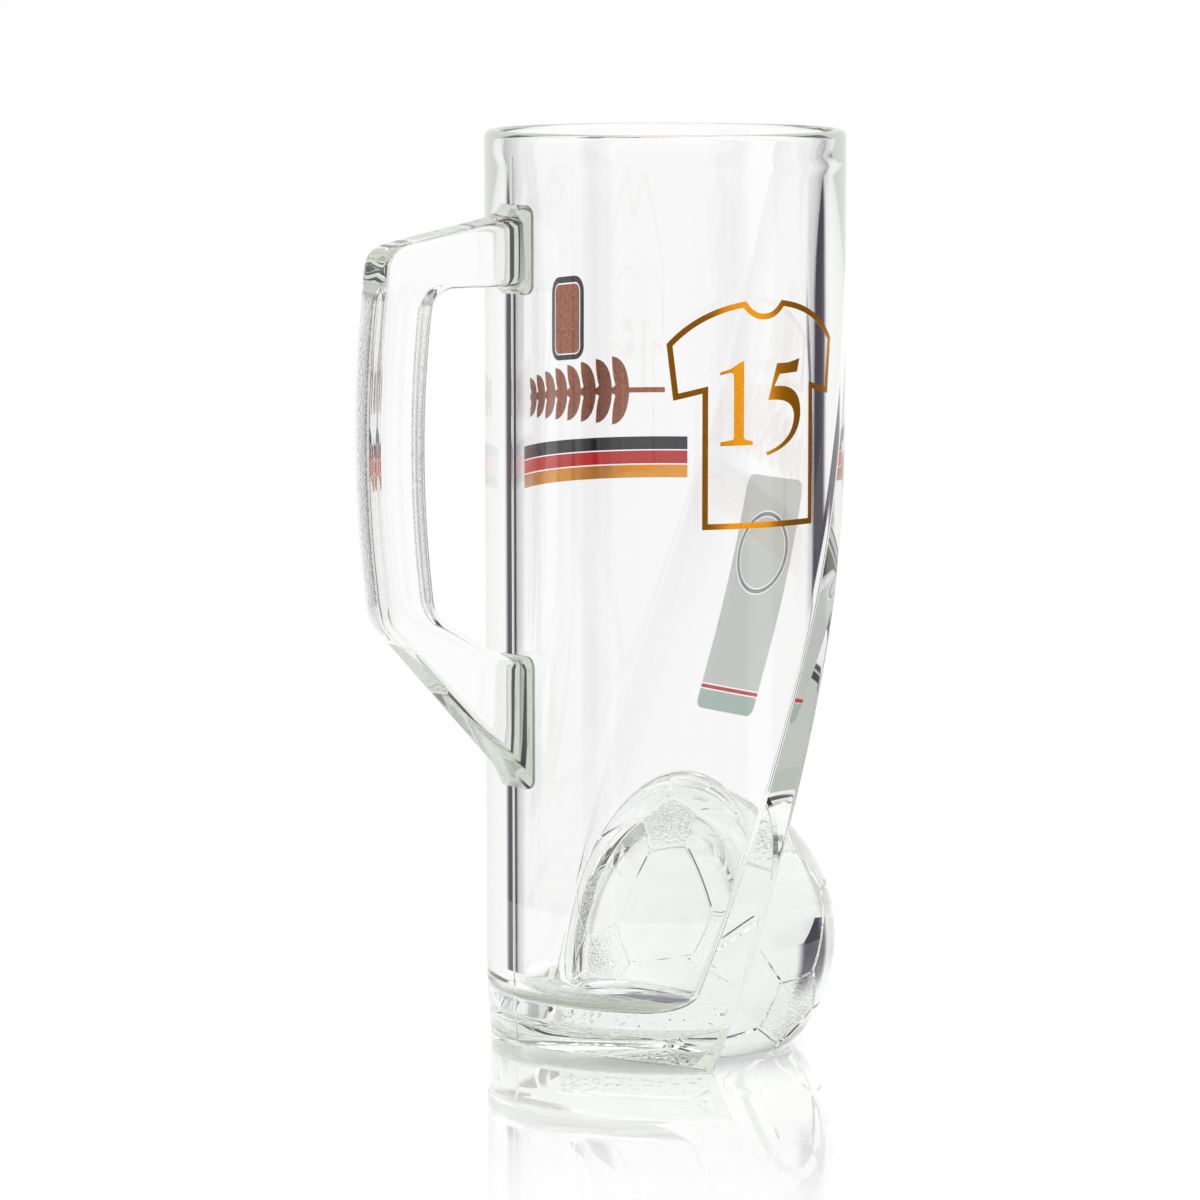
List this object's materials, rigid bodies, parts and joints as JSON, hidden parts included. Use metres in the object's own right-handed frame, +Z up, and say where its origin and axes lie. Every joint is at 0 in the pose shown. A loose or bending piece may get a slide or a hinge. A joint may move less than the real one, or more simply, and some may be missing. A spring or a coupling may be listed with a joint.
{
  "type": "beer mug",
  "caption": "Tall clear glass beer mug with an angular side handle, a long ramp facet, a solid glass football at its foot, and fired-on gold and enamel decoration.",
  "frame": {"origin": "on the body's axis, on the surface that the mug stands on, under the football's flat underside", "axes": "+Z up along the body; the handle is on the -X side, the ramp facet and the football on the +X side"},
  "size_m": [0.1202, 0.0828, 0.2095],
  "materials": {
    "clear_glass": "pressed, fire-polished, faintly green in thick sections",
    "football_glass": "pressed, pentagon panels stippled, hexagon panels smooth",
    "gold_print": "bright fired-on gold",
    "copper_print": "fired-on copper lustre",
    "black_enamel": "glossy fired-on enamel",
    "red_enamel": "glossy fired-on enamel",
    "white_enamel": "satin fired-on enamel",
    "teal_enamel": "satin fired-on enamel",
    "grey_enamel": "satin fired-on enamel"
  },
  "bodies": {
    "root": {"glass_body": "clear_glass", "handle": "clear_glass", "football": "football_glass", "shirt_outline": "gold_print", "number_one": "gold_print", "number_five": "gold_print", "stripe_black": "black_enamel", "stripe_red": "red_enamel", "stripe_gold": "gold_print", "barley_ear": "copper_print", "badge_frame": "black_enamel", "badge_field": "copper_print", "label_panel": "white_enamel", "label_ring": "grey_enamel", "label_disc": "white_enamel", "label_rule": "red_enamel", "label_band": "teal_enamel"}
  },
  "joints": []
}
